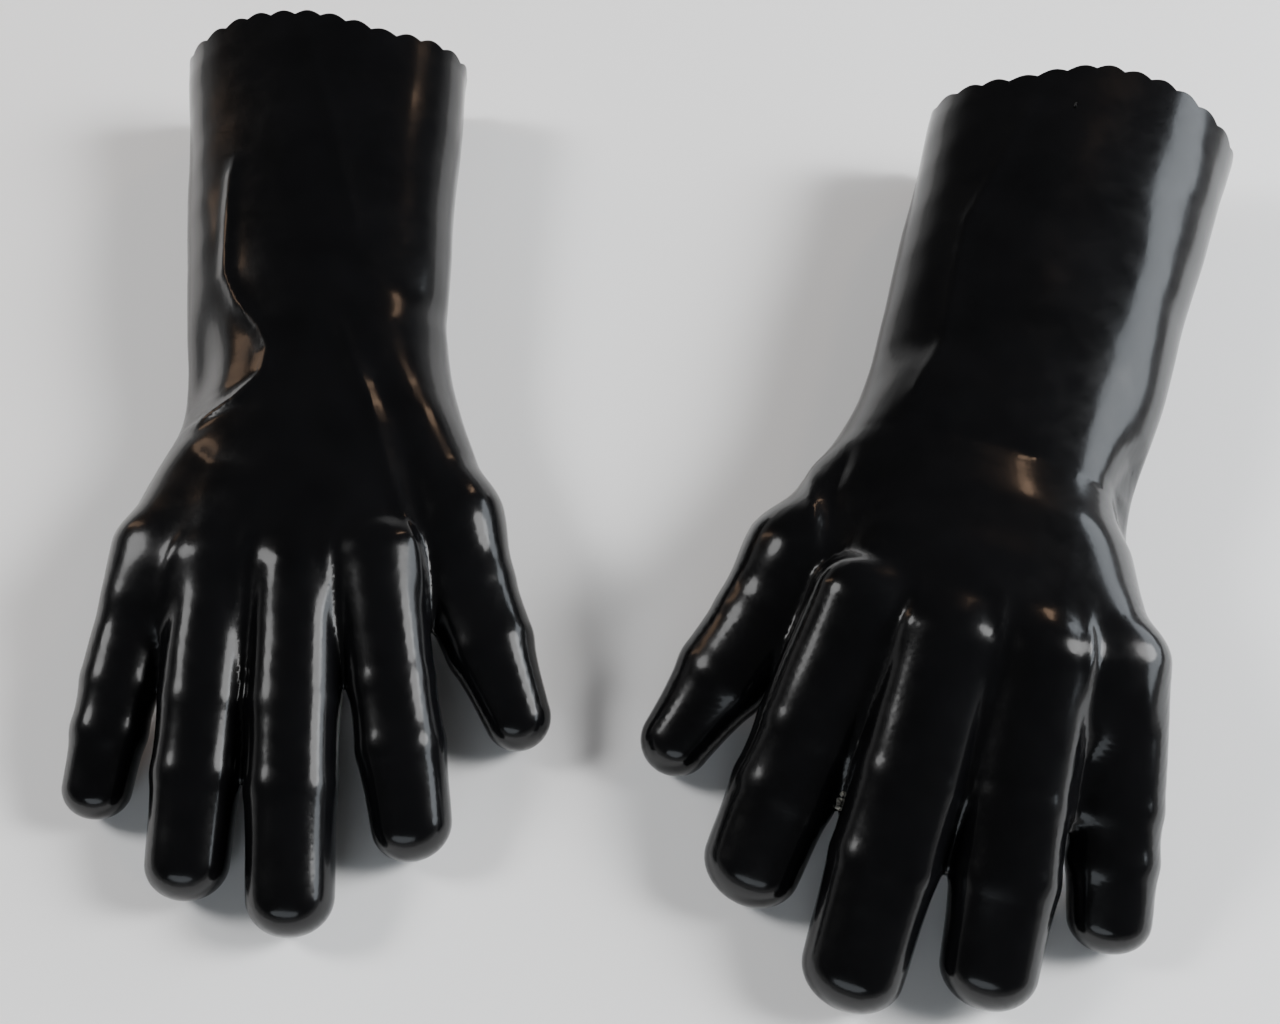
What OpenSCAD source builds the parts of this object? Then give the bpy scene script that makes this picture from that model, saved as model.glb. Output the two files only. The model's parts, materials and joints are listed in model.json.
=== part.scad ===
// A pair of lined, dipped gauntlet gloves that lie palm down, fingers towards -Y.
// Each glove is a coated shell over a knitted lining, divided where it bends.

/* [Coating and lining] */
// Thickness of the dipped coating
coat_wall = 1.2; // [0.8:0.1:1.6]
// Thickness of the knitted lining
lining_wall = 0.8; // [0.5:0.1:1.0]

/* [Gauntlet] */
// Length from the wrist crease to the cuff edge
gauntlet_len = 180; // [150:5:200]
// Width across the cuff opening, right and left glove
cuff_w = [120, 124]; // [110:1:128]
// Height of the cuff opening, right and left glove
cuff_h = [64, 66]; // [54:1:68]
// Width across the wrist, right and left glove
wrist_w = [98, 104]; // [90:1:106]
// Height of the wrist, right and left glove
wrist_h = [54, 49]; // [46:1:56]
// Number of scallops round the cuff edge
scallops = 28; // [20:1:36]
// Depth of each scallop
scallop_depth = 2; // [1:0.5:3]

/* [Digits, thumb to little finger] */
// Where each digit's knuckle is, across the right hand
right_knuckle_x = [53, 28, 1, -26, -52]; // [-60:0.5:60]
// Where each digit's knuckle is, across the left hand, which lies flatter
left_knuckle_x = [56, 30, 1, -28, -56]; // [-60:0.5:60]
// Where each digit's knuckle is, along the hand
knuckle_y = [-50, -68, -73, -69, -59]; // [-80:1:-40]
// Length from the knuckle to the end of the web beside the digit
web_len = [12, 33, 34, 34, 35]; // [10:1:36]
// Length from the knuckle to the first joint, just past the web
stub_len = [26, 45, 46, 46, 47]; // [24:1:50]
// Radius at the first joint
root_r = [14.5, 13, 13, 13, 12.5]; // [10:0.5:15]
// Radius at the second joint
middle_r = [14, 13.5, 13.5, 13.5, 12]; // [9:0.5:14]
// Radius of the round tip
tip_r = [13, 13, 13, 13, 11.5]; // [9:0.5:13]
// Length from the first joint to the second
lower_len = [23, 22, 28, 25, 17]; // [17:1:34]
// Length from the second joint to the middle of the round tip
upper_len = [27, 27, 36, 30, 20]; // [18:1:38]

/* [How each glove lies] */
// Where the right glove's wrist is on the table
right_wrist = [-124, 38]; // [-150:1:150]
// How far the right glove's gauntlet leans, in degrees
right_lean = 3.5; // [-30:0.5:30]
// Height of the right glove's knuckles, thumb to little finger
right_knuckle_z = [27, 38, 39, 38, 34]; // [24:1:44]
// Outward turn of the right glove's digits, in degrees
right_splay = [17, 6.5, -1, -5.5, -12]; // [-20:0.5:25]
// Downward slope of the right glove's digits up to their second joint, in degrees
right_slope = [9, 14, 13, 14, 15]; // [4:1:17]
// Where the left glove's wrist is on the table
left_wrist = [124, -1]; // [-150:1:150]
// How far the left glove's gauntlet leans, in degrees
left_lean = -19; // [-30:0.5:30]
// How far the left glove's gauntlet slopes up from its cuff to its wrist, in degrees
left_tilt = 5; // [0:1:8]
// Height of the left glove's knuckles, thumb to little finger
left_knuckle_z = [40, 56, 59, 58, 52]; // [30:1:70]
// Outward turn of the left glove's digits, in degrees
left_splay = [18, 7.5, -0.5, -8, -14.5]; // [-20:0.5:25]
// Downward slope of the left glove's digits up to their second joint, in degrees
left_slope = [20, 28, 25, 27, 30]; // [16:1:32]

/* [How far the joints bend] */
// Wrist, upwards, in degrees
wrist_lift = 45; // [20:5:50]
// Wrist, downwards, in degrees
wrist_drop = 25; // [10:5:30]
// First joint of the thumb and fingers, closing, in degrees
root_close = [40, 50, 50, 50, 50]; // [20:5:50]
// Second joint of the thumb and fingers, closing, in degrees
middle_close = [45, 45, 45, 45, 40]; // [20:5:45]
// Every joint of the digits, opening, in degrees
digit_open = 15; // [5:5:20]

/* [Hidden] */
$fn = 48;
DIGITS = ["thumb", "index", "middle", "ring", "little"];
LAYERS = ["coat", "lining"];
GLOVES = ["right", "left"];
SEGMENTS = [
    "gauntlet", "hand",
    for (d = DIGITS) each [str(d, "_lower"), str(d, "_tip")]
];

COAT_COLOUR = [0.05, 0.05, 0.055];
LINING_COLOUR = [0.86, 0.83, 0.76];
SEAM_COLOUR = [0.72, 0.69, 0.62];

origin_shift = [-22.694, -21.908]; // moves the middle of the pair to the origin
bond_gap = 0.05;             // between the coating and the lining
seam_gap = 0.25;              // between the lining and its seam
hinge_gap = 0.15;            // from each hinge line to the segments' ends
hinge_spare = 1;             // degrees that each cut opens beyond its joint's limit
floor_gap = 0.1;             // under each fingertip
lane_w = 31;                 // width of the cut at one digit's joint
cut_reach = 40;              // how far a cut reaches from its hinge line
roundness = 2.3;             // exponent of the gauntlet's cross-section
sole = 1.5;                  // how much of the gauntlet's underside is pressed flat
web_step = 2;                // how much thinner a web is than its digits, and again at its edge
slab = 0.6;                  // thickness of the wrist's slice in a hull
slab_step = 0.2;             // how much further back each form inside the hand starts
ring_points = 4 * scallops;  // points round one ring of the gauntlet
seam_w = 4;
seam_t = 0.7;
seam_margin = 8;             // from the seam's ends to the wrist and the cuff edge

// One value for each side of the pair
function of_glove(g, right, left) = g == "right" ? right : left;
function knuckle_at(g, d) =
    [of_glove(g, right_knuckle_x, left_knuckle_x)[d], knuckle_y[d],
     of_glove(g, right_knuckle_z, left_knuckle_z)[d]];
function splay(g, d) = of_glove(g, right_splay, left_splay)[d];
function slope(g, d) = of_glove(g, right_slope, left_slope)[d];

// The upper segment slopes so that the round tip comes down to the table
function tip_slope(g, d) = asin((knuckle_at(g, d)[2] - tip_r[d] - floor_gap
    - (stub_len[d] + lower_len[d]) * sin(slope(g, d))) / upper_len[d]);

// Depth of a layer's two faces below the outside of the glove
function outer_inset(layer) = layer == "coat" ? 0 : coat_wall + bond_gap;
function inner_inset(layer) = layer == "coat" ? coat_wall : coat_wall + bond_gap + lining_wall;

function power(v, p) = sign(v) * pow(abs(v), p);

// The gauntlet's cross-section, flat where it rests on the table
function section(w, h, inset, points) = [
    for (i = [0 : points - 1])
        let (t = 360 * i / points,
             x = (w / 2 - inset) * power(cos(t), 2 / roundness),
             z = h / 2 - sole + (h / 2 - inset) * power(sin(t), 2 / roundness))
        [x, max(z, inset)]
];

// Sizes of one glove's gauntlet, so far from its wrist
function own(g, sizes) = of_glove(g, sizes[0], sizes[1]);
function gauntlet_w(g, y) =
    own(g, wrist_w) + (own(g, cuff_w) - own(g, wrist_w)) * pow(y / gauntlet_len, 1.3);
function gauntlet_h(g, y) =
    own(g, wrist_h) + (own(g, cuff_h) - own(g, wrist_h)) * y / gauntlet_len;
function wrist_mid(g) = own(g, wrist_h) / 2 - sole;

// A gauntlet that slopes up to its wrist still rests on its cuff's edge
function tilt(g) = of_glove(g, 0, left_tilt);
function wrist_z(g) = gauntlet_len * sin(tilt(g)) + wrist_mid(g) * cos(tilt(g));

// A ring of the gauntlet: kind 0 is its wrist end, 1 is a plain ring and 2 is the scalloped edge
function gauntlet_ring(g, y, kind, inset) =
    let (s = section(gauntlet_w(g, y), gauntlet_h(g, y), inset, ring_points))
    [for (i = [0 : ring_points - 1])
        [s[i][0], y + ring_offset(kind, i, s[i][1] - wrist_mid(g)), s[i][1]]];

function ring_offset(kind, i, dz) =
    kind == 0 ? hinge_gap + abs(dz) * tan((dz > 0 ? wrist_lift : wrist_drop) / 2 + hinge_spare) :
    kind == 2 ? -scallop_depth * (1 - abs(sin(180 * (i % 4) / 4))) : 0;

// A wall between two stacks of rings, closed at both rims
module tube_wall(outer, inner) {
    n = len(outer[0]);
    m = len(outer);
    function at(layer, j, i) = (layer * m + j) * n + i % n;
    sides = [
        for (layer = [0, 1], j = [0 : m - 2], i = [0 : n - 1])
            let (a = at(layer, j, i), b = at(layer, j, i + 1),
                 c = at(layer, j + 1, i + 1), d = at(layer, j + 1, i))
            each layer == 0 ? [[a, b, c], [a, c, d]] : [[a, c, b], [a, d, c]]
    ];
    rims = [
        for (end = [0, 1], i = [0 : n - 1])
            let (j = end * (m - 1), a = at(0, j, i), b = at(0, j, i + 1),
                 c = at(1, j, i + 1), d = at(1, j, i))
            each end == 0 ? [[a, d, c], [a, c, b]] : [[a, c, d], [a, b, c]]
    ];
    polyhedron(points = [for (r = outer) each r, for (r = inner) each r],
               faces = concat(sides, rims), convexity = 6);
}

module at_gauntlet(g) {
    translate([0, 0, wrist_z(g)]) rotate([-tilt(g), 0, 0]) translate([0, 0, -wrist_mid(g)]) children();
}

module gauntlet(g, layer) {
    function stack(inset) = [
        gauntlet_ring(g, 0, 0, inset),
        gauntlet_ring(g, gauntlet_len / 2, 1, inset),
        gauntlet_ring(g, gauntlet_len, 2, inset)
    ];
    at_gauntlet(g) tube_wall(stack(outer_inset(layer)), stack(inner_inset(layer)));
}

// A prism over the angles between two directions round a hinge line.
// Angles are from the digit's own direction, -Y, and grow downwards.
module sector(from, to, apex, width) {
    middle = (from + to) / 2;
    outline = [
        [apex, 0],
        for (k = [0 : 4])
            let (a = from + (to - from) * k / 4)
            [apex + cut_reach * cos(a), cut_reach * sin(a)]
    ];
    rotate([-90, 0, -90])
        linear_extrude(width, center = true) polygon(outline);
}

// What lies past a hinge, and what lies before it. tilt is the middle slope of its two sides.
module past_hinge(tilt, close, open, width) {
    sector(-90 + tilt - open / 2 - hinge_spare, 90 + tilt + close / 2 + hinge_spare,
           -hinge_gap, width);
}
module before_hinge(tilt, close, open, width) {
    sector(90 + tilt - close / 2 - hinge_spare, 270 + tilt + open / 2 + hinge_spare,
           hinge_gap, width);
}

module wrist_slab(g, inset, back) {
    at_gauntlet(g)
        translate([0, back, 0])
            rotate([90, 0, 0])
                linear_extrude(slab) polygon(section(own(g, wrist_w), own(g, wrist_h), inset, 40));
}
// A ball on a digit's line, so far past its knuckle
module ball(g, d, along, radius) {
    translate(knuckle_at(g, d))
        rotate([0, 0, splay(g, d)])
            rotate([slope(g, d), 0, 0])
                translate([0, -along, 0])
                    sphere(radius, $fn = 20);
}
// The solid hand: the palm, the thumb's base, the webs, and each digit up to its first joint
module hand_form(g, inset, back) {
    hull() {
        wrist_slab(g, inset, back);
        for (d = [1 : 4]) ball(g, d, 0, root_r[d] + 1 - inset);
    }
    hull() {
        wrist_slab(g, inset + 0.4, back);
        ball(g, 0, 0, root_r[0] + 1 - inset);
    }
    for (d = [1 : 3])
        hull() {
            ball(g, d, 0, root_r[d] - web_step - inset);
            ball(g, d + 1, 0, root_r[d + 1] - web_step - inset);
            ball(g, d, web_len[d], root_r[d] - 2 * web_step - inset);
            ball(g, d + 1, web_len[d + 1], root_r[d + 1] - 2 * web_step - inset);
        }
    for (d = [0 : 4])
        hull() {
            ball(g, d, 0, root_r[d] + 0.4 - inset);
            ball(g, d, stub_len[d], root_r[d] - inset);
        }
}

module hand(g, layer) {
    back = layer == "coat" ? 0 : slab_step;
    difference() {
        hand_form(g, outer_inset(layer), back);
        hand_form(g, inner_inset(layer), back + slab_step);
        translate([0, 0, wrist_z(g)])
            before_hinge(-tilt(g), wrist_drop, wrist_lift, 2 * own(g, wrist_w));
        for (d = [0 : 4])
            at_digit(g, d)
                past_hinge(0, root_close[d], digit_open, lane_w);
    }
}

// A digit's own frame at its first joint, with the digit along -Y
module at_digit(g, d) {
    translate(knuckle_at(g, d))
        rotate([0, 0, splay(g, d)])
            rotate([slope(g, d), 0, 0])
                translate([0, -stub_len[d], 0])
                    children();
}

module digit_lower(g, d, layer) {
    a = outer_inset(layer);
    b = inner_inset(layer);
    bend = tip_slope(g, d);
    at_digit(g, d)
        difference() {
            rotate([90, 0, 0])
                rotate_extrude()
                    polygon([[root_r[d] - b, 0], [root_r[d] - a, 0],
                             [middle_r[d] - a, lower_len[d]], [middle_r[d] - b, lower_len[d]]]);
            before_hinge(0, root_close[d], digit_open, lane_w);
            translate([0, -lower_len[d], 0])
                past_hinge((bend - slope(g, d)) / 2, middle_close[d], digit_open, lane_w);
        }
}

module digit_tip(g, d, layer) {
    a = outer_inset(layer);
    b = inner_inset(layer);
    bend = tip_slope(g, d);
    function dome(r) = [for (k = [0 : 6]) [r * cos(15 * k), upper_len[d] + r * sin(15 * k)]];
    function reversed(v) = [for (k = [len(v) - 1 : -1 : 0]) v[k]];
    at_digit(g, d)
        translate([0, -lower_len[d], 0])
            rotate([bend - slope(g, d), 0, 0])
                difference() {
                    rotate([90, 0, 0])
                        rotate_extrude()
                            polygon([[middle_r[d] - b, 0], [middle_r[d] - a, 0],
                                     each dome(tip_r[d] - a), each reversed(dome(tip_r[d] - b))]);
                    before_hinge((slope(g, d) - bend) / 2, middle_close[d], digit_open, lane_w);
                }
}

// The seam that closes the lining along the little finger's side of the gauntlet
module lining_seam(g) {
    depth = inner_inset("lining") + seam_gap + seam_t / 2;
    at = [seam_margin + seam_w, gauntlet_len / 2, gauntlet_len - seam_margin];
    for (k = [0, 1])
        hull()
            for (y = [at[k], at[k + 1]])
                translate([depth - gauntlet_w(g, y) / 2, y, gauntlet_h(g, y) / 2 - sole])
                    cube([seam_t, seam_w, seam_w], center = true);
}

// Puts a right glove where it lies, or mirrors it into a left one
module placed(g) {
    at = of_glove(g, right_wrist, left_wrist) + origin_shift;
    translate([at[0], at[1], 0])
        rotate([0, 0, of_glove(g, right_lean, left_lean)])
            mirror([g == "left" ? 1 : 0, 0, 0])
                children();
}

for (g = GLOVES) {
    for (layer = LAYERS) {
        paint = layer == "coat" ? COAT_COLOUR : LINING_COLOUR;
        color(paint) placed(g) gauntlet(g, layer);
        color(paint) placed(g) hand(g, layer);
        for (d = [0 : 4]) {
            color(paint) placed(g) digit_lower(g, d, layer);
            color(paint) placed(g) digit_tip(g, d, layer);
        }
    }
    color(SEAM_COLOUR) placed(g) at_gauntlet(g) lining_seam(g);
}
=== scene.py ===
import json
import math

import bpy
import numpy as np
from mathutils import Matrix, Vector


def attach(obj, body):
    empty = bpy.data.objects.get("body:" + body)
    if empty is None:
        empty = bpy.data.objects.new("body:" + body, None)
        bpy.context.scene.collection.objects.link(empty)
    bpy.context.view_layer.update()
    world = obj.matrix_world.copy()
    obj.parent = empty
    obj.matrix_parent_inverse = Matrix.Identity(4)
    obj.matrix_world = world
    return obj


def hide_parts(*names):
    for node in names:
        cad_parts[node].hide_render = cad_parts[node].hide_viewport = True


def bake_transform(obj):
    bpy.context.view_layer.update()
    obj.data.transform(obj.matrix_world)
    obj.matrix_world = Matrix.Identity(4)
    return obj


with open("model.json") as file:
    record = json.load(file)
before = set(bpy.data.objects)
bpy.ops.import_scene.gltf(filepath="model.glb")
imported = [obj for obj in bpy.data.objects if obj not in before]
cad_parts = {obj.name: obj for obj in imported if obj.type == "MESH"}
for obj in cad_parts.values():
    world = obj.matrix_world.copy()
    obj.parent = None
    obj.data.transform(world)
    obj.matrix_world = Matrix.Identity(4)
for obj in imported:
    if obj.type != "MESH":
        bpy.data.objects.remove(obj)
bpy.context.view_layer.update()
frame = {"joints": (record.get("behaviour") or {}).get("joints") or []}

# ---------------------------------------------------------------- sizes, in mm
MM = 0.001
CELL = 1.6      # the skin's mesh spacing
COAT = (0.0, 1.2)                      # depth of the coating's two faces
LINING = (1.25, 2.05)                  # depth of the lining's two faces
GAUNTLET = 180.0                       # wrist crease to cuff edge
FLARE = 1.3                            # how late the gauntlet widens on its way to the cuff
SOLE = 1.5                             # how much of the underside is pressed flat
SCALLOPS = 28
SCALLOP_DEPTH = 2.2
WRIST_ZONE = 24.0                      # half-length of the zone round the wrist; the gauntlet piece reaches about this far past the wrist crease
DIGITS = ("thumb", "index", "middle", "ring", "little")
UPPER_LEN = (26, 26, 35, 29, 19)       # second joint to the middle of the round tip
TIP_R = (12.2, 12.6, 12.6, 12.4, 10.8)   # height of the tips' middles above the floor
THUMB_WIDE = (1.3, 1.24, 1.14, 0.98)   # how oval the thumb is at its knuckle, two joints and tip
THUMB_SHIFT = (2.0, 3.0, 1.5)          # how far its knuckle and joints lie towards the index finger
DIGIT_R = (                            # each digit's radius at its knuckle, two joints and tip
    (15.3, 14.4, 13.9, 12.1),
    (14.0, 13.6, 13.7, 12.4),
    (14.0, 13.7, 13.9, 12.6),
    (14.0, 13.6, 13.7, 12.3),
    (11.2, 12.1, 12.0, 10.7),
)
DIGIT_BLEND = (9, 4, 4, 4, 8)          # how softly each digit runs into the palm
BASE_ZONE = (10.5, 9.5, 10.5, 9.8, 8.8)   # half-length of the zone round each first joint, where each digit's pieces begin
TIP_ZONE = (9.0, 8.6, 9.5, 9.0, 6.8)   # and round each second joint; with the first, it sets where each digit's lower piece ends
# Where the palm ends between the digits, from the little finger's side to the thumb's, as x and y
WEBS = ((-75, -72), (-66, -80), (-41, -94), (-27, -104), (-12, -103),
        (1, -106), (15, -101), (30, -99), (50, -80))
UP = np.array([0, 0, 1.0])
GLOVES = {
    "right": dict(side=1, tilt=0.0, cuff=(120, 64), wrist=(98, 54),
                  fat=(1, 1, 1.03, 1, 1), wide=1.09,
                  edge=((-59, 1), (-30, 3), (0, -1), (30, -9), (59, -6)),
                  knuckles=((53, -50, 27), (28, -68, 38), (1, -73, 39), (-26, -69, 38), (-52, -59, 34))),
    "left": dict(side=-1, tilt=5.0, cuff=(124, 66), wrist=(104, 49),
                 fat=(1.05, 1.1, 1.1, 1.08, 1.06), wide=1.18,
                 edge=((-62, 11), (-30, 15), (0, 12), (30, 0), (62, -2)),
                 knuckles=((56, -50, 40), (30, -68, 56), (1, -73, 59), (-28, -69, 58), (-56, -59, 52))),
}
JOINTS = {j["name"]: j for j in frame["joints"]}
# Folds on each glove's back: height (a groove is negative), half-width, and the line's points, in mm
FOLDS = {
    "right": (
        (1.7, 2.6, ((-31, 110), (-31, 52), (-25, 37), (-15, 23), (-11, 13), (-13, 2),
                    (-23, -7), (-36, -13), (-46, -13))),
        (1.3, 2.8, ((12, 30), (17, 14), (26, -12), (34, -42), (42, -68), (47, -90))),
        (-1.2, 4.5, ((24, 10), (36, -18), (42, -44), (47, -66))),
        (0.8, 3.0, ((-6, 176), (8, 120), (20, 62))),
        (0.9, 2.4, ((18, -52), (13, -70), (13, -92))),
        (0.9, 2.2, ((-12, -58), (-17, -76), (-18, -96))),
        (0.8, 2.2, ((-34, -56), (-42, -74), (-46, -92))),
        (-0.7, 5.0, ((-42, -20), (-30, -34), (-8, -40))),
    ),
    "left": (
        (1.5, 2.6, ((60, 0), (60, -20), (56, -40), (50, -58))),
        (-1.4, 3.4, ((50, -8), (51, -30), (46, -56))),
        (1.0, 2.4, ((15, -58), (14, -72), (17, -90))),
        (1.2, 2.4, ((-10, -56), (-13, -72), (-16, -92))),
        (1.0, 2.4, ((-38, -52), (-41, -66), (-45, -86))),
        (-1.8, 5.0, ((-54, 32), (-44, 6), (-54, -16))),
        (0.9, 3.0, ((22, 170), (34, 100), (30, 40), (36, 6))),
    ),
}
# Dents pressed into the skin: depth, middle and half-sizes, in mm
DENTS = {
    "right": (
        (4.6, (-41, 16, 14), (13, 26, 16)),
        (1.6, (44, 8, 16), (16, 26, 16)),
        (1.4, (10, -38, 30), (26, 20, 12)),
        (1.5, (-34, -40, 26), (14, 14, 12)),
        (1.2, (20, 120, 34), (18, 50, 10)),
    ),
    "left": (
        (3.0, (-50, 8, 8), (12, 24, 16)),
        (1.6, (46, 22, 14), (16, 30, 16)),
        (1.5, (4, -34, 28), (28, 20, 12)),
        (1.4, (-28, -44, 28), (14, 14, 12)),
        (1.2, (-18, 110, 30), (18, 50, 10)),
    ),
}


def unit(v):
    v = np.asarray(v, float)
    return v / np.linalg.norm(v)


def smin(a, b, k):
    h = np.clip(0.5 + 0.5 * (b - a) / k, 0, 1)
    return b + (a - b) * h - k * h * (1 - h)


def smax(a, b, k):
    return -smin(-a, -b, k)


class Glove:
    """One glove's measures, in its gauntlet's own frame: x to the thumb, y to the cuff, z up, in mm."""

    def __init__(self, name):
        p = GLOVES[name]
        self.name = name
        self.side = p["side"]
        self.tilt = math.radians(p["tilt"])
        self.cuff, self.wrist_size, self.edge = p["cuff"], p["wrist"], p["edge"]
        self.fat, self.wide = p["fat"], p["wide"]
        wrist = JOINTS[name + "_wrist_bend"]
        self.at = np.array(wrist["pos_m"]) / MM
        across = -np.array(wrist["axis"][:2], float)
        self.ex = np.array([*(across * self.side), 0.0])
        self.ey = np.array([-across[1], across[0], 0.0])
        self.knuckle = [self.from_level(np.array(k, float) - [0, 0, self.at[2]]) for k in p["knuckles"]]
        self.base = [self.from_row(JOINTS[f"{name}_{d}_base_bend"]["pos_m"]) for d in DIGITS]
        self.middle = [self.from_row(JOINTS[f"{name}_{d}_tip_bend"]["pos_m"]) for d in DIGITS]
        self.tip = []
        for i in range(5):
            m = self.to_level(self.middle[i])
            along = self.to_level(self.middle[i]) - self.to_level(self.base[i])
            level = unit([along[0], along[1], 0])
            drop = m[2] + self.at[2] - TIP_R[i] - 0.1
            reach = math.sqrt(UPPER_LEN[i] ** 2 - drop ** 2)
            self.tip.append(self.from_level(m + level * reach - np.array([0, 0, drop])))

    def along(self, i):
        return unit(self.base[i] - self.knuckle[i])

    def bend_line(self, i):
        return unit(self.along(i) + unit(self.tip[i] - self.middle[i]))

    def section_w(self, y):
        share = np.clip(y, 0, None) / GAUNTLET
        return self.wrist_size[0] + (self.cuff[0] - self.wrist_size[0]) * share ** FLARE

    def section_h(self, y):
        return self.wrist_size[1] + (self.cuff[1] - self.wrist_size[1]) * np.clip(y, 0, None) / GAUNTLET

    def turn_row(self, n):
        q = self.to_level(n)
        return q[..., :1] * self.ex + q[..., 1:2] * self.ey + q[..., 2:] * UP

    def from_level(self, p):
        c, s = math.cos(self.tilt), math.sin(self.tilt)
        p = np.asarray(p, float)
        return np.stack([p[..., 0], p[..., 1] * c - p[..., 2] * s, p[..., 1] * s + p[..., 2] * c], -1)

    def to_level(self, p):
        c, s = math.cos(self.tilt), math.sin(self.tilt)
        p = np.asarray(p, float)
        return np.stack([p[..., 0], p[..., 1] * c + p[..., 2] * s, -p[..., 1] * s + p[..., 2] * c], -1)

    def from_row(self, m):
        d = np.array(m, float) / MM - self.at
        return self.from_level(np.array([d @ self.ex, d @ self.ey, d[2]]))

    def to_row(self, p):
        q = self.to_level(p)
        return (self.at + q[..., :1] * self.ex + q[..., 1:2] * self.ey + q[..., 2:] * UP) * MM


def cone(p, a, b, ra, rb, waist=0.0, wide=(1.0, 1.0), thick=1.0, power=2.0):
    """Distance to a round-ended cone from a to b.

    wide (one value at each end) and thick make its section oval, and power squares it off."""
    a, b = np.asarray(a, float), np.asarray(b, float)
    ab = b - a
    n = np.linalg.norm(ab)
    u = ab / n
    across = unit(np.cross(u, [0, 0, 1]))
    up = np.cross(across, u)
    q = p - a
    s = q @ u
    t = np.clip(s / n, 0, 1)
    r = ra + (rb - ra) * t - waist * np.sin(np.pi * t) ** 2
    x, z, y = (q @ across) / (wide[0] + (wide[1] - wide[0]) * t), (q @ up) / thick, s - t * n
    if power == 2.0:
        d = np.sqrt(x * x + z * z + y * y)
    else:
        d = np.sqrt((np.abs(x) ** power + np.abs(z) ** power) ** (2 / power) + y * y)
    return d - r


def curve(y, ys, vs):
    """A smooth curve through the points, held level past the ends."""
    fine = np.linspace(min(ys), max(ys), 240)
    v = np.interp(fine, ys, vs)
    kernel = np.hanning(33)
    pad = np.concatenate([np.full(16, v[0]), v, np.full(16, v[-1])])
    return np.interp(y, fine, np.convolve(pad, kernel / kernel.sum(), "valid"))


def field(g, p):
    """Signed distance, in mm, from the outside of the whole glove."""
    x, y, z = p[:, 0], p[:, 1], p[:, 2]
    ww, wh = g.wrist_size
    cw, ch = g.cuff
    up = np.clip(y, 0, None) / GAUNTLET
    high = np.mean([g.knuckle[i][2] for i in (1, 2, 3)])
    fall = np.mean([(g.base[i][2] - g.knuckle[i][2]) / (g.base[i][1] - g.knuckle[i][1]) for i in (1, 2, 3)])
    # the gauntlet and palm are one tube of superellipse sections
    half_w = np.where(y > 0, (ww + (cw - ww) * up ** FLARE) / 2,
                      curve(y, (-110, -90, -70, -55, -35, -15, 0, 10),
                            (52, 52, 51.5, 50.5, 49.5, ww / 2 - 0.5, ww / 2, ww / 2)))
    mid_x = curve(y, (-110, -80, -60, -30, -10, 0, 10), (-13, -12.5, -10.5, -4, 0, 0, 0))
    gaunt_h = (wh + (ch - wh) * up) / 2
    half_h = np.where(y > 0, gaunt_h, curve(y, (-110, -98, -86, -70, -45, -20, 0, 10),
                                            (3.5, 5, 8, 13, 20, 24.5, wh / 2, wh / 2)))
    mid_z = np.where(y > 0, gaunt_h - wh / 2,
                     curve(y, (-110, -70, -45, -15, 0, 10),
                           (high - 40 * fall, high, high * 0.72, high * 0.2, 0, 0)))
    # the palm slopes down towards the little finger
    mid_z = mid_z - 0.10 * np.clip(-x - 30, 0, 40) * np.clip(-y / 60, 0, 1)
    n = np.where(z > mid_z, curve(y, (-50, -10, 10), (2.3, 2.0, 1.9)), 2.5)
    a, b = np.abs((x - mid_x) / half_w) + 1e-6, np.abs((z - mid_z) / half_h) + 1e-6
    s = a ** n + b ** n
    k = s ** (1 / n)
    slope = s ** (1 / n - 1) * np.hypot(a ** (n - 1) / half_w, b ** (n - 1) / half_h)
    tube = (k - 1) / slope
    tube = smax(tube, curve(x, *zip(*WEBS)) - y, 9)
    body = tube
    # heel of the hand and base of the thumb
    heel = cone(p, (-24, -8, -5), (g.knuckle[4][0] + 5, -56, g.knuckle[4][2] - 2), 20, 13)
    body = smin(body, heel, 10)
    root = cone(p, (25, 22, -2), g.knuckle[0], 23, 16)
    body = smin(body, root, 12)
    for i in range(5):
        k0, b0, m0, t0 = g.knuckle[i], g.base[i], g.middle[i], g.tip[i]
        r0, r1, r2, r3 = (g.fat[i] * r for r in DIGIT_R[i])
        shape = dict(thick=min(0.97, 1.0 / g.fat[i]), power=2.15)
        wide = THUMB_WIDE if i == 0 else (g.wide,) * 4
        shifts = THUMB_SHIFT if i == 0 else (0, 0, 0)
        k0, b0, m0 = (q - [shift, 0, 0] for q, shift in zip((k0, b0, m0), shifts))
        digit = cone(p, k0, b0, r0, r1, wide=wide[:2], **shape)
        digit = smin(digit, cone(p, b0, m0, r1, r2, waist=0.25, wide=wide[1:3], **shape), 1)
        digit = smin(digit, cone(p, m0, t0, r2, r3, waist=0.2, wide=wide[2:], **shape), 1)
        body = smin(body, digit, DIGIT_BLEND[i])
    # the underside is pressed flat where it lies
    floor = -(z + wh / 2 - SOLE)
    return np.where(y > -60, smax(body, floor, 2.0), body)


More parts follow.
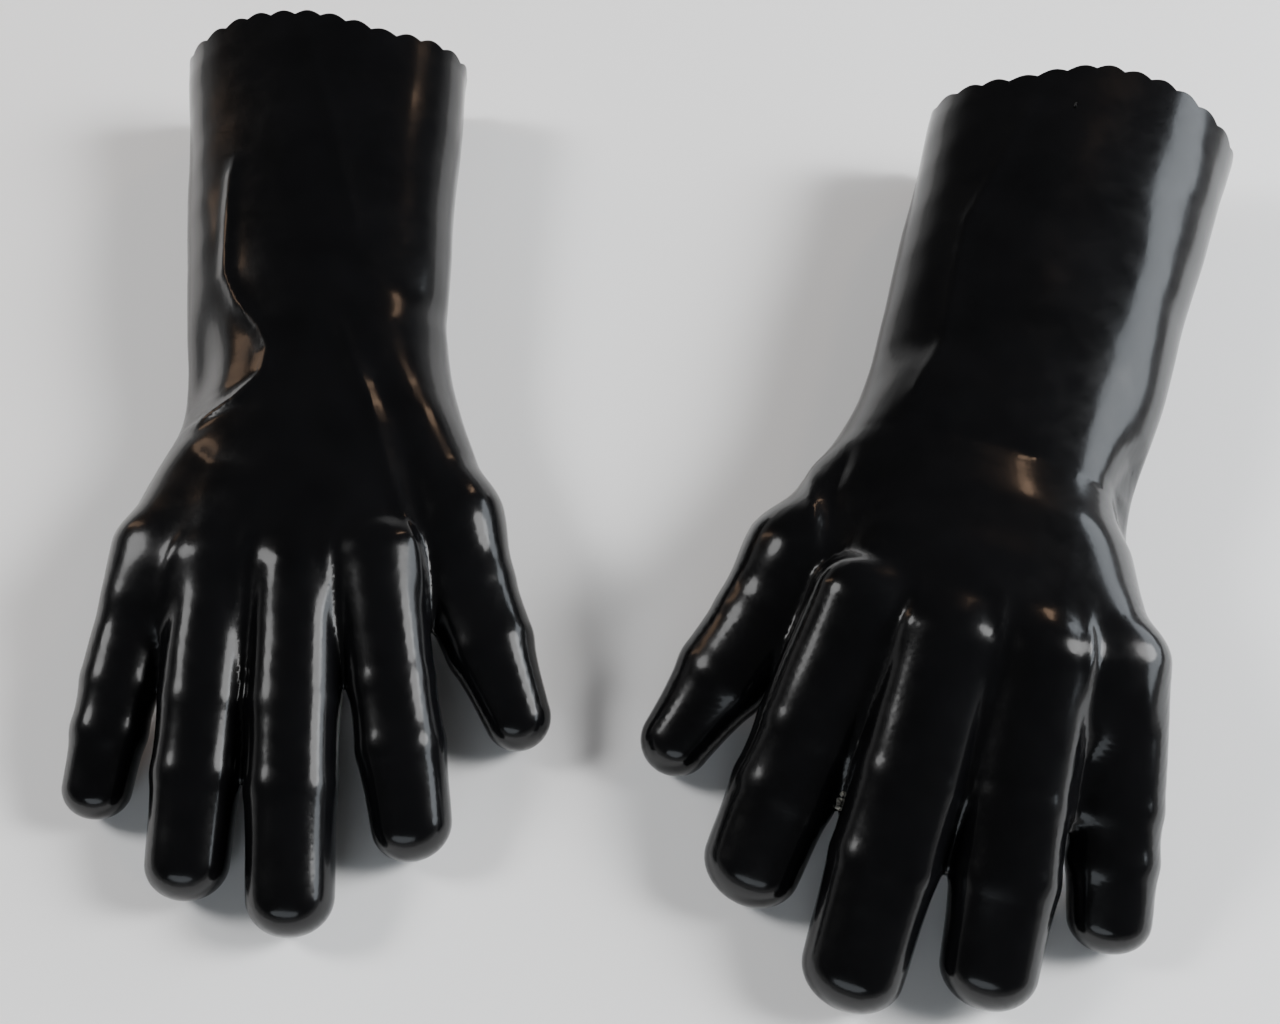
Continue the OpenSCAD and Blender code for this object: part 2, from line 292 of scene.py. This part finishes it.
def nets(g, lo, hi):
    """Naive surface nets over a box: vertices in mm and quads that face outwards."""
    n = [int(math.ceil((hi[i] - lo[i]) / CELL)) + 1 for i in range(3)]
    axes = [lo[i] + CELL * np.arange(n[i]) for i in range(3)]
    f = np.empty(n, np.float32)
    step = max(1, 400000 // (n[1] * n[2]))
    for i in range(0, n[0], step):
        block = np.stack(np.meshgrid(axes[0][i:i + step], axes[1], axes[2], indexing="ij"), -1)
        f[i:i + step] = field(g, block.reshape(-1, 3)).reshape(block.shape[:3])
    inside = f < 0
    corners = [(a, b, c) for a in (0, 1) for b in (0, 1) for c in (0, 1)]
    cut = [slice(None, -1), slice(1, None)]
    count = sum(inside[cut[a], cut[b], cut[c]].astype(np.int8) for a, b, c in corners)
    active = (count > 0) & (count < 8)
    cells = np.argwhere(active)
    index = np.full(active.shape, -1, np.int64)
    index[active] = np.arange(len(cells))
    total, hits = np.zeros((len(cells), 3)), np.zeros(len(cells))
    for a in corners:
        for axis in range(3):
            if a[axis]:
                continue
            b = list(a)
            b[axis] = 1
            fa = f[tuple((cells + a).T)].astype(float)
            fb = f[tuple((cells + b).T)].astype(float)
            on = (fa < 0) != (fb < 0)
            t = np.where(on, fa / np.where(on, fa - fb, 1), 0)
            total += np.where(on[:, None], np.array(a) + t[:, None] * (np.array(b) - a), 0)
            hits += on
    verts = (cells + total / hits[:, None]) * CELL + np.array(lo)
    quads = []
    for axis in range(3):
        u, v = (axis + 1) % 3, (axis + 2) % 3
        first, second = [slice(None)] * 3, [slice(None)] * 3
        first[axis], second[axis] = slice(None, -1), slice(1, None)
        sa, sb = inside[tuple(first)], inside[tuple(second)]
        edges = np.argwhere(sa != sb)
        ok = (edges[:, u] > 0) & (edges[:, v] > 0) & (edges[:, u] < n[u] - 1) & (edges[:, v] < n[v] - 1)
        edges = edges[ok]
        ring = []
        for du, dv in ((-1, -1), (0, -1), (0, 0), (-1, 0)):
            c = edges.copy()
            c[:, u] += du
            c[:, v] += dv
            ring.append(index[tuple(c.T)])
        ring = np.stack(ring, 1)
        flip = ~sa[tuple(edges.T)]
        ring[flip] = ring[flip][:, ::-1]
        quads.append(ring)
    return verts, np.concatenate(quads)


def gradient(g, p, e=0.35):
    out = np.empty_like(p)
    for i in range(3):
        d = np.zeros(3)
        d[i] = e
        out[:, i] = (field(g, p + d) - field(g, p - d)) / (2 * e)
    return out


def project(g, p, rounds):
    for _ in range(rounds):
        f, d = field(g, p), gradient(g, p)
        p = p - np.clip(f / np.maximum((d * d).sum(1), 0.05), -1.5, 1.5)[:, None] * d
    return p


def relax(p, faces, fixed, amount):
    total, count = np.zeros_like(p), np.zeros(len(p))
    for i in range(4):
        a, b = faces[:, i], faces[:, (i + 1) % 4]
        np.add.at(total, a, p[b])
        np.add.at(total, b, p[a])
        np.add.at(count, a, 1)
        np.add.at(count, b, 1)
    move = (total / count[:, None] - p) * amount
    move[fixed] = 0
    return p + move


def relief(g, p, n):
    """How far the folds, dents and slow waves move each point along its normal."""
    upper = np.clip(n[:, 2] * 2.2, 0, 1)
    h = np.zeros(len(p))
    for height, width, line in FOLDS[g.name]:
        line = np.array(line, float)
        best, fade = np.full(len(p), 1e9), np.ones(len(p))
        run = np.concatenate([[0], np.cumsum(np.linalg.norm(np.diff(line, axis=0), axis=1))])
        for a, b, start in zip(line, line[1:], run):
            t = np.clip(((p[:, :2] - a) @ (b - a)) / ((b - a) @ (b - a)), 0, 1)
            d = np.linalg.norm(p[:, :2] - a - t[:, None] * (b - a), axis=1)
            at = start + t * np.linalg.norm(b - a)
            fade = np.where(d < best, np.clip(np.minimum(at, run[-1] - at) / 12, 0, 1), fade)
            best = np.minimum(best, d)
        h += upper * fade * height * np.exp(-(np.sqrt(best ** 2 + 0.25) / width) ** 1.5)
    for depth, middle, half in DENTS[g.name]:
        h -= depth * np.exp(-(((p - middle) / half) ** 2).sum(1))
    x, y, z = p[:, 0] * g.side, p[:, 1], p[:, 2]
    slow = np.sin(x / 13 + y / 41 + 1.3) * np.sin(y / 23 - z / 19 + 0.4)
    slow = slow + 0.6 * np.sin(y / 11 + x / 29 + z / 17)
    fast = np.sin(x / 5.1 - y / 9.3 + z / 7 + 2.0) * np.sin(y / 6.7 + x / 11 + 0.7)
    calm = np.clip((GAUNTLET - y) / 12, 0.25, 1)
    return h + (0.34 * slow + 0.07 * fast) * calm


def section_ring(g, y, count):
    """Points evenly spaced round the skin where it crosses height y, starting at the little finger's side."""
    angle = np.linspace(-np.pi, np.pi, 1440, endpoint=False)
    w, h = g.cuff
    height = (h - g.wrist_size[1]) / 2 + h / 2 * np.sin(angle)
    p = np.stack([w / 2 * np.cos(angle), np.full(len(angle), y), height], -1)
    p = drop_on(g, p, 8)
    q = np.concatenate([p, p[:1]])
    run = np.concatenate([[0], np.cumsum(np.linalg.norm(np.diff(q, axis=0), axis=1))])
    at = np.linspace(0, run[-1], count, endpoint=False)
    return np.stack([np.interp(at, run, q[:, i]) for i in range(3)], -1), run[-1]


def drop_on(g, p, rounds):
    """Moves points onto the skin without changing how far along the gauntlet they are."""
    p = p.copy()
    for _ in range(rounds):
        f, d = field(g, p), gradient(g, p)
        d[:, 1] = 0
        p -= np.clip(f / np.maximum((d * d).sum(1), 0.05), -6, 6)[:, None] * d
    return p


def cuff_edge(g, p, column):
    """Where the scalloped edge is, for points round the cuff."""
    upper = np.clip(0.8 + (2 * p[:, 2] + g.wrist_size[1]) / g.cuff[1] - 1, 0, 1)
    wave = np.abs(np.sin(np.pi * SCALLOPS * column))
    return GAUNTLET + upper * curve(p[:, 0], *zip(*g.edge)) - SCALLOP_DEPTH * (1 - wave)


def skin(g):
    """The whole outside of one glove as vertices, faces and smooth normals, in its own frame."""
    v, q = nets(g, (-94, -196, -80), (100, GAUNTLET + 4, 50))
    for _ in range(3):
        v = project(g, relax(v, q, np.zeros(len(v), bool), 0.5), 1)
    cut = GAUNTLET - 14
    q = q[(v[q][:, :, 1] < cut).all(1)]
    used = np.unique(q)
    renumber = np.full(len(v), -1)
    renumber[used] = np.arange(len(used))
    v, q = v[used], renumber[q]
    # the open edge at the cut, in order round the gauntlet
    ends = open_edges(q)
    loop = [ends[0][0]]
    follow = dict(ends)
    while follow[loop[-1]] != loop[0]:
        loop.append(follow[loop[-1]])
    loop = np.array(loop)
    columns, rows = SCALLOPS * 12, 9
    ring, girth = section_ring(g, cut, columns)
    share = np.arange(columns) / columns
    edge_at = cuff_edge(g, section_ring(g, GAUNTLET, columns)[0], share)
    start = v[loop][:, 1].max() + 0.8
    band = []
    for j in range(rows):
        y = start + (edge_at - start) * j / (rows - 1)
        p = ring.copy()
        p[:, 1] = y
        band.append(drop_on(g, p, 6))
    first = len(v)
    v = np.concatenate([v] + band)
    faces = [tuple(f) for f in q]
    grid = first + np.arange(rows * columns).reshape(rows, columns)
    middle = (g.cuff[1] - g.wrist_size[1]) / 2
    ta, tb = (np.arctan2(v[k][:, 2] - middle, v[k][:, 0]) for k in (loop, grid[0]))
    order = np.argsort(ta)
    loop, ta = loop[order], ta[order]
    order = np.argsort(tb)
    low, tb = grid[0][order], tb[order]
    i = j = 0
    while i < len(loop) or j < len(low):
        a, b = loop[i % len(loop)], low[j % len(low)]
        na = ta[i + 1] if i + 1 < len(loop) else ta[0] + 2 * np.pi if i < len(loop) else 9
        nb = tb[j + 1] if j + 1 < len(low) else tb[0] + 2 * np.pi if j < len(low) else 9
        if na <= nb:
            faces.append((a, loop[(i + 1) % len(loop)], b))
            i += 1
        else:
            faces.append((a, low[(j + 1) % len(low)], b))
            j += 1
    for j in range(rows - 1):
        for i in range(columns):
            k = (i + 1) % columns
            faces.append((grid[j, i], grid[j, k], grid[j + 1, k], grid[j + 1, i]))
    faces = face_out(v, faces, len(q))
    n = smooth_normals(v, faces)
    v = v + n * relief(g, v, n)[:, None]
    return v, faces, smooth_normals(v, faces)


def open_edges(q):
    """Directed edges that only one face has."""
    a = np.concatenate([q[:, [i, (i + 1) % 4]] for i in range(4)])
    key = a[:, 0] * (q.max() + 1) + a[:, 1]
    back = a[:, 1] * (q.max() + 1) + a[:, 0]
    return [tuple(e) for e in a[~np.isin(key, back)]]


def face_out(v, faces, built):
    """Turns the added faces the way of the ones they join."""
    out = list(faces[:built])
    for f in faces[built:]:
        p = v[list(f)]
        n = np.cross(p[1] - p[0], p[2] - p[0])
        centre = p.mean(0) * [1, 0, 1]
        out.append(f if n @ centre > 0 else f[::-1])
    return out


def smooth_normals(v, faces):
    tri = np.array([(f[0], f[i], f[i + 1]) for f in faces for i in range(1, len(f) - 1)])
    n = np.cross(v[tri[:, 1]] - v[tri[:, 0]], v[tri[:, 2]] - v[tri[:, 0]])
    total = np.zeros_like(v)
    for i in range(3):
        np.add.at(total, tri[:, i], n)
    return total / np.linalg.norm(total, axis=1)[:, None]


def assign(g, v, faces):
    """Each face's segment: 0 gauntlet, 1 hand, then a lower and a tip segment for each digit."""
    c = np.array([v[list(f)].mean(0) for f in faces])
    part = np.where(c[:, 1] > -WRIST_ZONE - 1.5, 0, 1)
    near, which = np.full(len(c), 1e9), np.zeros(len(c), int)
    for i in range(5):
        line = [g.base[i] - 12 * g.along(i), g.base[i], g.middle[i], g.tip[i]]
        for a, b in zip(line, line[1:]):
            t = np.clip((c - a) @ (b - a) / ((b - a) @ (b - a)), 0, 1)
            d = np.linalg.norm(c - a - t[:, None] * (b - a), axis=1)
            which = np.where(d < near, i, which)
            near = np.minimum(near, d)
    for i in range(5):
        mine = (part == 1) & (which == i) & ((c - g.base[i]) @ g.along(i) > -BASE_ZONE[i] - 1.3)
        spare = np.linalg.norm(g.middle[i] - g.base[i]) - BASE_ZONE[i] - TIP_ZONE[i]
        past = (c - g.middle[i]) @ g.bend_line(i) > -TIP_ZONE[i] - spare / 2
        part = np.where(mine, np.where(past, 3 + 2 * i, 2 + 2 * i), part)
    return part


def shell(name, g, v, faces, normals, depths, material):
    """A closed piece between two depths below the skin, keeping the whole glove's smooth normals."""
    used = np.unique(np.concatenate([np.array(f) for f in faces]))
    slot = {int(k): i for i, k in enumerate(used)}
    n = len(used)
    outer, inner = (v[used] - d * normals[used] for d in depths)
    points = g.to_row(np.concatenate([outer, inner]))
    flip = g.side < 0
    normal_row = g.turn_row(normals[used])
    polys, corner = [], []
    edges = {}
    for f in faces:
        k = [slot[i] for i in f]
        for i in range(len(k)):
            a, b = k[i], k[(i + 1) % len(k)]
            if (b, a) in edges:
                del edges[b, a]
            else:
                edges[a, b] = True
        front, rear = (k[::-1], [i + n for i in k]) if flip else (k, [i + n for i in k[::-1]])
        polys += [front, rear]
        corner += [normal_row[i] for i in front] + [-normal_row[i - n] for i in rear]
    for a, b in edges:
        f = [b, a, a + n, b + n]
        if flip:
            f = f[::-1]
        p = points[f]
        m = np.cross(p[1] - p[0], p[3] - p[0])
        m = m / (np.linalg.norm(m) + 1e-12)
        polys.append(f)
        corner += [m] * 4
    mesh = bpy.data.meshes.new(name)
    mesh.from_pydata(points.tolist(), [], polys)
    mesh.polygons.foreach_set("use_smooth", [True] * len(mesh.polygons))
    knit = mesh.attributes.new("knit", "FLOAT_VECTOR", "POINT")
    rows = np.concatenate([v[used], v[used]])
    around = np.arctan2(rows[:, 2] - 3, -rows[:, 0]) * 48
    knit.data.foreach_set("vector", (np.stack([around, rows[:, 1], np.zeros(len(rows))], -1) * MM).ravel())
    mesh.normals_split_custom_set(np.array(corner))
    mesh.materials.append(material)
    obj = bpy.data.objects.new(name, mesh)
    bpy.context.scene.collection.objects.link(obj)
    return obj


# ---------------------------------------------------------------- materials
class Nodes:
    def __init__(self, name):
        self.material = bpy.data.materials.new(name)
        self.material.use_nodes = True
        self.tree = self.material.node_tree
        self.shader = self.tree.nodes["Principled BSDF"]

    def add(self, kind, links=(), **values):
        node = self.tree.nodes.new(kind)
        for key, value in values.items():
            if key in node.inputs:
                node.inputs[key].default_value = value
            else:
                setattr(node, key, value)
        for socket, source in dict(links).items():
            self.tree.links.new(source, node.inputs[socket])
        return node

    def set(self, **values):
        for key, value in values.items():
            self.shader.inputs[key.replace("_", " ")].default_value = value

    def link(self, source, name):
        self.tree.links.new(source, self.shader.inputs[name])

    def ramp(self, source, stops):
        node = self.add("ShaderNodeValToRGB", {"Fac": source})
        while len(node.color_ramp.elements) < len(stops):
            node.color_ramp.elements.new(0.5)
        for e, (at, value) in zip(node.color_ramp.elements, stops):
            e.position = at
            e.color = (*value, 1) if isinstance(value, tuple) else (value, value, value, 1)
        return node.outputs["Color"]


def coating():
    n = Nodes("black_coating")
    n.set(Roughness=0.2, IOR=1.45, Specular_IOR_Level=0.4, Coat_Weight=0.12, Coat_Roughness=0.06)
    where = n.add("ShaderNodeTexCoord").outputs["Object"]
    cloud = n.add("ShaderNodeTexNoise", {"Vector": where}, Scale=38.0, Detail=5.0, Roughness=0.6)
    blacks = ((0.3, (0.0014, 0.0014, 0.0016)), (0.75, (0.0026, 0.0026, 0.003)))
    n.link(n.ramp(cloud.outputs["Fac"], blacks), "Base Color")
    smear = n.add("ShaderNodeTexNoise", {"Vector": where}, Scale=90.0, Detail=6.0, Roughness=0.65)
    n.link(n.ramp(smear.outputs["Fac"], ((0.35, 0.14), (0.7, 0.22))), "Roughness")
    wave = n.add("ShaderNodeTexNoise", {"Vector": where}, Scale=42.0, Detail=1.0)
    peel = n.add("ShaderNodeTexNoise", {"Vector": where}, Scale=620.0, Detail=2.0)
    first = n.add("ShaderNodeBump", {"Height": wave.outputs["Fac"]}, Strength=0.12, Distance=0.002)
    second = n.add("ShaderNodeBump", {"Height": peel.outputs["Fac"], "Normal": first.outputs["Normal"]},
                   Strength=0.05, Distance=0.0004)
    n.link(second.outputs["Normal"], "Normal")
    return n.material


def jersey():
    n = Nodes("cotton_lining")
    n.set(Roughness=0.9, Sheen_Weight=0.35, Sheen_Roughness=0.5)
    where = n.add("ShaderNodeAttribute", attribute_name="knit").outputs["Vector"]
    wales = n.add("ShaderNodeTexWave", {"Vector": where}, wave_type="BANDS", bands_direction="X",
                  Scale=190.0, Distortion=1.2, Detail=1.0)
    courses = n.add("ShaderNodeTexWave", {"Vector": where}, wave_type="BANDS", bands_direction="Y",
                    Scale=260.0, Distortion=1.5, Detail=1.0)
    loops = n.add("ShaderNodeMath", {0: wales.outputs["Fac"], 1: courses.outputs["Fac"]},
                  operation="MULTIPLY")
    n.link(n.ramp(loops.outputs[0], ((0.0, (0.50, 0.47, 0.40)), (0.8, (0.78, 0.74, 0.66)))), "Base Color")
    bump = n.add("ShaderNodeBump", {"Height": loops.outputs[0]}, Strength=0.7, Distance=0.0005)
    n.link(bump.outputs["Normal"], "Normal")
    return n.material


def thread():
    n = Nodes("seam_thread")
    n.set(Roughness=0.85, Sheen_Weight=0.3)
    where = n.add("ShaderNodeTexCoord").outputs["Object"]
    ply = n.add("ShaderNodeTexNoise", {"Vector": where}, Scale=900.0, Detail=3.0)
    n.link(n.ramp(ply.outputs["Fac"], ((0.3, (0.42, 0.40, 0.35)), (0.7, (0.66, 0.63, 0.56)))), "Base Color")
    bump = n.add("ShaderNodeBump", {"Height": ply.outputs["Fac"]}, Strength=0.5, Distance=0.0003)
    n.link(bump.outputs["Normal"], "Normal")
    return n.material


def seam(g, material):
    """The overlocked strip inside the gauntlet, on the little finger's side: a band with zigzag threads."""
    ys = np.arange(9, 173, 0.75)
    wall = drop_on(g, np.stack([-g.section_w(ys) / 2, ys, (g.section_h(ys) - g.wrist_size[1]) / 2], -1), 8)
    out = gradient(g, wall)
    out /= np.linalg.norm(out, axis=1)[:, None]
    wall = wall + out * relief(g, wall, out)[:, None]
    points, faces = [], []

    def tube(depth, lift, thick, wide, sides):
        first = len(points)
        turns = 2 * np.pi * np.arange(sides) / sides
        for c, n, up in zip(wall, out, lift + 0 * ys):
            for t in turns:
                points.append(c - n * (depth - thick * np.cos(t)) + np.array([0, 0, up + wide * np.sin(t)]))
        for j in range(len(ys) - 1):
            for k in range(sides):
                a, b = first + j * sides + k, first + j * sides + (k + 1) % sides
                faces.append((a, b, b + sides, a + sides))
        faces.append(tuple(first + k for k in range(sides))[::-1])
        faces.append(tuple(first + (len(ys) - 1) * sides + k for k in range(sides)))

    tube(LINING[1] + 0.25, 0, 0.4, 2.0, 12)
    phase = ys / 2.4 * np.pi
    for turn in (0, np.pi):
        tube(LINING[1] + 0.72, 1.7 * np.sin(phase + turn), 0.22, 0.22, 6)
    mesh = bpy.data.meshes.new(g.name + "_seam")
    mesh.from_pydata(g.to_row(np.array(points)).tolist(), [], [f[::-1] if g.side < 0 else f for f in faces])
    mesh.polygons.foreach_set("use_smooth", [True] * len(mesh.polygons))
    mesh.materials.append(material)
    obj = bpy.data.objects.new(g.name + "_overlock_seam", mesh)
    bpy.context.scene.collection.objects.link(obj)
    return obj


def hang(obj, g, part):
    """Fixes a piece in place where it lies, or rides a hand piece on the hand's body."""
    if part == 0:
        zone = g.to_row(np.array([[0, WRIST_ZONE, 0], [0, -WRIST_ZONE, 0]]))
        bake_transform(obj)
    elif part == 1:
        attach(obj, g.name + "_hand")
    else:
        i, tip = (part - 2) // 2, part % 2
        at, line, half = ((g.middle[i], g.bend_line(i), TIP_ZONE[i]) if tip else
                          (g.base[i], g.along(i), BASE_ZONE[i]))
        zone = g.to_row(np.array([at - half * line, at + half * line]))
        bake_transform(obj)


SEGMENTS = ["gauntlet", "hand"] + [f"{d}_{s}" for d in DIGITS for s in ("lower", "tip")]
black, knitted, sewn = coating(), jersey(), thread()
for name in GLOVES:
    glove = Glove(name)
    verts, faces, normals = skin(glove)
    parts = assign(glove, verts, faces)
    for part, segment in enumerate(SEGMENTS):
        chosen = [f for f, k in zip(faces, parts) if k == part]
        for layer, depths, material, slot in (("coat", COAT, black, "black_coating"),
                                              ("lining", LINING, knitted, "cotton_lining")):
            piece = shell(f"{name}_{segment}_{layer}_skin", glove, verts, chosen, normals, depths, material)
            hang(piece, glove, part)
            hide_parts(f"{name}_{segment}_{layer}")
    strip = seam(glove, sewn)
    hang(strip, glove, 0)
    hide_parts(name + "_lining_seam")

# ---------------------------------------------------------------- floor, lights and camera
FLOOR_R, FLOOR_SIDES = 5, 96
turns = 2 * np.pi * np.arange(FLOOR_SIDES) / FLOOR_SIDES
floor_rim = [(FLOOR_R * math.cos(t), FLOOR_R * math.sin(t), 0) for t in turns]
floor_mesh = bpy.data.meshes.new("floor")
floor_mesh.from_pydata(floor_rim, [], [tuple(range(FLOOR_SIDES))])
floor = bpy.data.objects.new("floor", floor_mesh)
bpy.context.scene.collection.objects.link(floor)
pale = Nodes("pale_floor")
pale.set(Roughness=0.7)
pale.shader.inputs["Base Color"].default_value = (0.92, 0.92, 0.92, 1)
floor_mesh.materials.append(pale.material)

world = bpy.data.worlds.new("studio")
bpy.context.scene.world = world
world.use_nodes = True
tree = world.node_tree
background = tree.nodes["Background"]
background.inputs["Color"].default_value = (1, 1, 1, 1)
# bright near the horizon, as a studio's backdrop, and dim above
direction = tree.nodes.new("ShaderNodeTexCoord")
upward = tree.nodes.new("ShaderNodeSeparateXYZ")
fade = tree.nodes.new("ShaderNodeMapRange")
fade.interpolation_type = "SMOOTHSTEP"
for socket, value in {"From Min": 0.04, "From Max": 0.3, "To Min": 0.55, "To Max": 0.06}.items():
    fade.inputs[socket].default_value = value
tree.links.new(direction.outputs["Generated"], upward.inputs["Vector"])
tree.links.new(upward.outputs["Z"], fade.inputs["Value"])
tree.links.new(fade.outputs["Result"], background.inputs["Strength"])


def softbox(name, at, aim, size, power, colour=(1, 1, 1)):
    """A light panel whose brightness falls off towards its edges: panels one inside the other."""
    scales = np.linspace(1.0, 0.3, 7)
    for scale in scales:
        light = bpy.data.lights.new(name, "AREA")
        light.shape = "ELLIPSE"
        light.size, light.size_y = scale * size[0], scale * size[1]
        light.energy = power * scale ** 2 / (scales ** 2).sum()
        light.color = colour
        obj = bpy.data.objects.new(name, light)
        obj.location = at
        obj.rotation_euler = (Vector(aim) - Vector(at)).to_track_quat("-Z", "Y").to_euler()
        bpy.context.scene.collection.objects.link(obj)


SKY, WARM = (0.86, 0.93, 1.0), (1.0, 0.66, 0.44)
softbox("window_right", (0.76, 0.08, 0.34), (0.15, 0.04, 0.05), (1.0, 0.34), 13.0, SKY)
softbox("front", (-0.3, -1.25, 0.55), (0, -0.1, 0.02), (1.1, 0.4), 7, SKY)
softbox("left", (-1.0, 0.6, 0.45), (-0.1, 0, 0.03), (0.12, 0.5), 1.2, WARM)
softbox("key_right", (2.6, 0.2, 1.9), (0, 0, 0), (1.5, 1.5), 150)
softbox("key_left", (-2.6, 0.5, 2.2), (0, 0, 0), (1.3, 1.3), 90)
softbox("warm_window", (1.2, 2.0, 1.2), (0, 0, 0), (0.16, 0.5), 4, WARM)

CAMERA_AWAY, CAMERA_HEIGHT = 0.55, math.radians(60)
CAMERA_TARGET = np.array([124, -38, 20]) * MM    # from the right wrist's place on the floor
cam = bpy.data.cameras.new("camera")
cam.lens, cam.sensor_width, cam.clip_start = 42, 36, 0.01
camera = bpy.data.objects.new("camera", cam)
bpy.context.scene.collection.objects.link(camera)
target = np.array(JOINTS["right_wrist_bend"]["pos_m"]) * [1, 1, 0] + CAMERA_TARGET
camera.location = target + CAMERA_AWAY * np.array([0, -math.cos(CAMERA_HEIGHT), math.sin(CAMERA_HEIGHT)])
camera.rotation_euler = (math.radians(90) - CAMERA_HEIGHT, 0, 0)
bpy.context.scene.camera = camera
